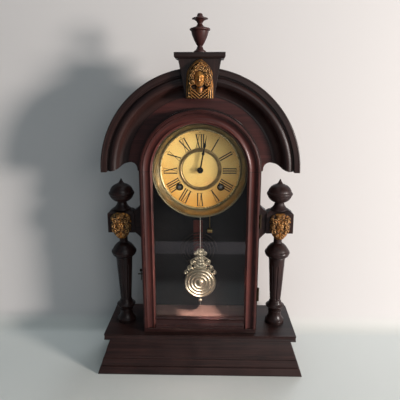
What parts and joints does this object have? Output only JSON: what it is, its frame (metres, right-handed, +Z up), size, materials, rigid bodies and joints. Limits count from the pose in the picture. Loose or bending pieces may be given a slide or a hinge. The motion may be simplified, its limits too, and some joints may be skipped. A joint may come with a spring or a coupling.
{
  "type": "mantel clock",
  "caption": "Wooden mantel clock with an arched pediment, turned side columns, glazed arched door, round dial, spring-driven strike movement and swinging pendulum.",
  "frame": {"origin": "centre of the plinth's footprint on the shelf, at the bottom of the plinth", "axes": "+X to the viewer's right, +Y to the clock's back, +Z up through the finial"},
  "size_m": [0.3614, 0.13, 0.6051],
  "materials": {
    "dark_wood": "dark stained walnut under old varnish",
    "red_wood": "red-brown varnished walnut",
    "inner_wood": "dark stained wood inside the case",
    "gilt": "gilt cast ornament with dark patina in its hollows",
    "brass": "aged brass",
    "dark_brass": "brass fittings gone nearly black",
    "bezel_brass": "tarnished brass bezel",
    "dial_paper": "aged cream paper dial with black numerals",
    "glass": "clear door glass",
    "steel": "plain steel",
    "blued_steel": "dark blued steel",
    "nickel": "nickel-plated cast bob",
    "gong_wood": "red stained block"
  },
  "bodies": {
    "case": {"plinth_front": "dark_wood", "plinth_returns": "dark_wood", "plinth_back_rail": "dark_wood", "platform_board": "dark_wood", "case_floor": "red_wood", "case_left_side": "dark_wood", "case_right_side": "dark_wood", "case_arch_roof": "dark_wood", "case_back_board": "inner_wood", "pediment_board": "red_wood", "pediment_moulding": "dark_wood", "keystone_block": "dark_wood", "keystone_cap": "dark_wood", "keystone_mask": "gilt", "top_finial": "red_wood", "left_column": "dark_wood", "right_column": "dark_wood", "column_blocks": "dark_wood", "block_masks": "gilt", "column_finials": "dark_wood", "column_brackets": "dark_wood", "hinge_case_leaves": "dark_brass", "hook_screw": "dark_brass", "dial_pan": "dial_paper", "dial_bezel": "bezel_brass", "dial_centre_ring": "brass", "dial_blocks": "inner_wood", "movement_front_plate": "brass", "movement_back_plate": "brass", "movement_feet": "steel", "mainsprings": "blued_steel", "gong_coil": "blued_steel", "gong_block": "gong_wood"},
    "door": {"door_left_stile": "red_wood", "door_right_stile": "red_wood", "door_bottom_rail": "red_wood", "door_arch": "red_wood", "door_glass": "glass", "hinge_door_leaves": "dark_brass", "latch_pin": "dark_brass"},
    "hook": {"door_hook": "dark_brass"},
    "minute_work": {"centre_arbor": "brass", "minute_hand": "blued_steel"},
    "hour_work": {"hour_wheel": "brass", "hour_hand": "blued_steel"},
    "minute_wheel": {"minute_wheel": "brass"},
    "centre_wheel": {"centre_wheel": "brass"},
    "second_wheel": {"second_wheel": "brass"},
    "third_wheel": {"third_wheel": "brass"},
    "escape_wheel": {"escape_wheel": "brass"},
    "time_great_wheel": {"time_great_wheel": "brass"},
    "time_winder": {"time_winding_arbor": "steel"},
    "strike_winder": {"strike_winding_arbor": "steel"},
    "strike_great_wheel": {"strike_great_wheel": "brass"},
    "strike_pin_wheel": {"strike_pin_wheel": "brass"},
    "strike_fly": {"strike_fly": "brass"},
    "strike_hammer": {"strike_hammer": "brass"},
    "verge": {"verge": "steel"},
    "pendulum": {"pendulum_rod": "steel"},
    "bob": {"pendulum_bob": "nickel"}
  },
  "joints": [
    {"name": "door_hinge", "type": "hinge", "parent": "case", "child": "door", "pos_m": [0.102, -0.0333, 0.2396], "axis": [0, 0, 1], "range_deg": [0, 105]},
    {"name": "hook_pivot", "type": "hinge", "parent": "case", "child": "hook", "pos_m": [-0.1045, -0.022, 0.181], "axis": [1, 0, 0], "range_deg": [0, 270]},
    {"name": "minute_arbor", "type": "hinge", "parent": "case", "child": "minute_work", "pos_m": [0, 0, 0.3594], "axis": [0, 1, 0], "continuous": true},
    {"name": "hour_pipe", "type": "hinge", "parent": "case", "child": "hour_work", "pos_m": [0, 0, 0.3594], "axis": [0, 1, 0], "continuous": true},
    {"name": "minute_wheel_stud", "type": "hinge", "parent": "case", "child": "minute_wheel", "pos_m": [-0.01018, 0, 0.36958], "axis": [0, 1, 0], "continuous": true},
    {"name": "second_arbor", "type": "hinge", "parent": "case", "child": "second_wheel", "pos_m": [0.01934, 0, 0.34977], "axis": [0, 1, 0], "continuous": true},
    {"name": "centre_wheel_turn", "type": "hinge", "parent": "case", "child": "centre_wheel", "pos_m": [0, 0, 0.3594], "axis": [0, 1, 0], "continuous": true},
    {"name": "time_great_turn", "type": "hinge", "parent": "case", "child": "time_great_wheel", "pos_m": [0.0355, 0, 0.3289], "axis": [0, 1, 0], "continuous": true},
    {"name": "third_arbor", "type": "hinge", "parent": "case", "child": "third_wheel", "pos_m": [0.00826, 0, 0.33336], "axis": [0, 1, 0], "continuous": true},
    {"name": "escape_arbor", "type": "hinge", "parent": "case", "child": "escape_wheel", "pos_m": [0, 0, 0.31636], "axis": [0, 1, 0], "continuous": true},
    {"name": "time_winding", "type": "hinge", "parent": "case", "child": "time_winder", "pos_m": [0.0355, 0, 0.3289], "axis": [0, 1, 0], "continuous": true},
    {"name": "strike_winding", "type": "hinge", "parent": "case", "child": "strike_winder", "pos_m": [-0.0355, 0, 0.3289], "axis": [0, 1, 0], "continuous": true},
    {"name": "strike_pin_turn", "type": "hinge", "parent": "case", "child": "strike_pin_wheel", "pos_m": [-0.01934, 0, 0.34977], "axis": [0, 1, 0], "continuous": true},
    {"name": "strike_great_turn", "type": "hinge", "parent": "case", "child": "strike_great_wheel", "pos_m": [-0.0355, 0, 0.3289], "axis": [0, 1, 0], "continuous": true},
    {"name": "fly_turn", "type": "hinge", "parent": "case", "child": "strike_fly", "pos_m": [-0.02413, 0, 0.36899], "axis": [0, 1, 0], "continuous": true},
    {"name": "hammer_lift", "type": "hinge", "parent": "case", "child": "strike_hammer", "pos_m": [0.016, 0, 0.3054], "axis": [0, 1, 0], "range_deg": [-7, 0], "stiffness_Nm_per_rad": 0.01},
    {"name": "pendulum_swing", "type": "hinge", "parent": "case", "child": "pendulum", "pos_m": [0, -0.001, 0.33336], "axis": [0, 1, 0], "range_deg": [-4, 4]},
    {"name": "verge_rock", "type": "hinge", "parent": "case", "child": "verge", "pos_m": [0, 0, 0.33336], "axis": [0, 1, 0], "range_deg": [-4, 4]},
    {"name": "bob_rating", "type": "slide", "parent": "pendulum", "child": "bob", "axis": [0, 0, 1], "range_m": [-0.003, 0.003]}
  ],
  "couplings": [
    {"joint": "hour_pipe", "follows": "minute_arbor", "ratio": 0.083333},
    {"joint": "minute_wheel_stud", "follows": "minute_arbor", "ratio": -0.33333},
    {"joint": "centre_wheel_turn", "follows": "second_arbor", "ratio": -1},
    {"joint": "time_great_turn", "follows": "second_arbor", "ratio": -0.1},
    {"joint": "third_arbor", "follows": "second_arbor", "ratio": -10},
    {"joint": "escape_arbor", "follows": "second_arbor", "ratio": 125},
    {"joint": "strike_great_turn", "follows": "strike_pin_turn", "ratio": -0.1},
    {"joint": "fly_turn", "follows": "strike_pin_turn", "ratio": -10},
    {"joint": "verge_rock", "follows": "pendulum_swing", "ratio": 1}
  ]
}
